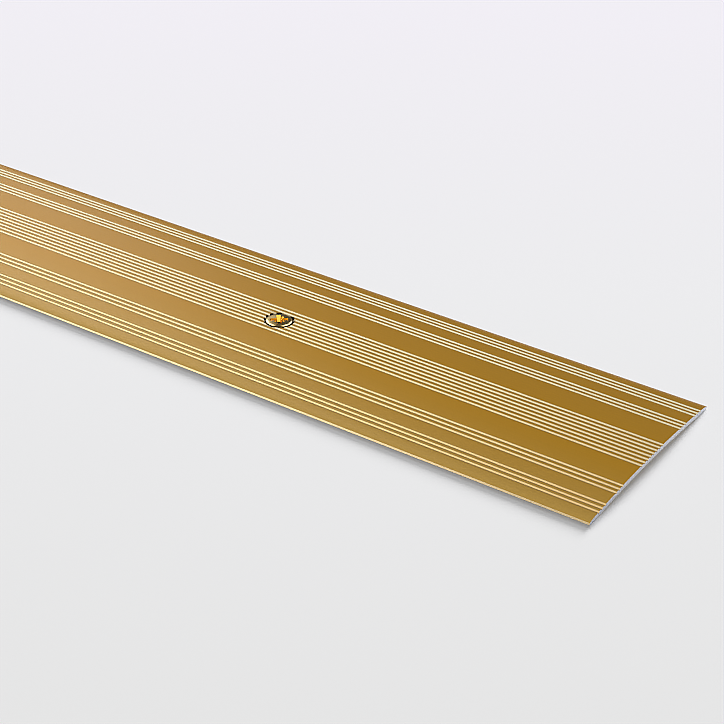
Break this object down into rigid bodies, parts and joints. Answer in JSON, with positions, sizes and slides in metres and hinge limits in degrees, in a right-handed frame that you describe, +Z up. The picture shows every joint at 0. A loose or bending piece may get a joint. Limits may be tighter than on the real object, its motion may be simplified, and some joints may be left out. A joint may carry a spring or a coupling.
{
  "type": "threshold strip",
  "caption": "Low arched cover strip of ribbed gold anodised aluminium for the joint between two floors, fixed by countersunk screws on its centre line.",
  "frame": {"origin": "middle of the strip's length and width, on the floor plane that its two bearing lands rest on", "axes": "+X along the strip, +Y across it, +Z up out of the ribbed face"},
  "size_m": [0.93, 0.06, 0.0028],
  "materials": {
    "anodised_aluminium": "satin gold anodising, bare silver metal on the sawn ends",
    "brass_screw": "bright brass plating with a dark cross recess"
  },
  "bodies": {
    "root": {"strip": "anodised_aluminium", "screw_1": "brass_screw", "screw_2": "brass_screw", "screw_3": "brass_screw", "screw_4": "brass_screw", "screw_5": "brass_screw"}
  },
  "joints": []
}
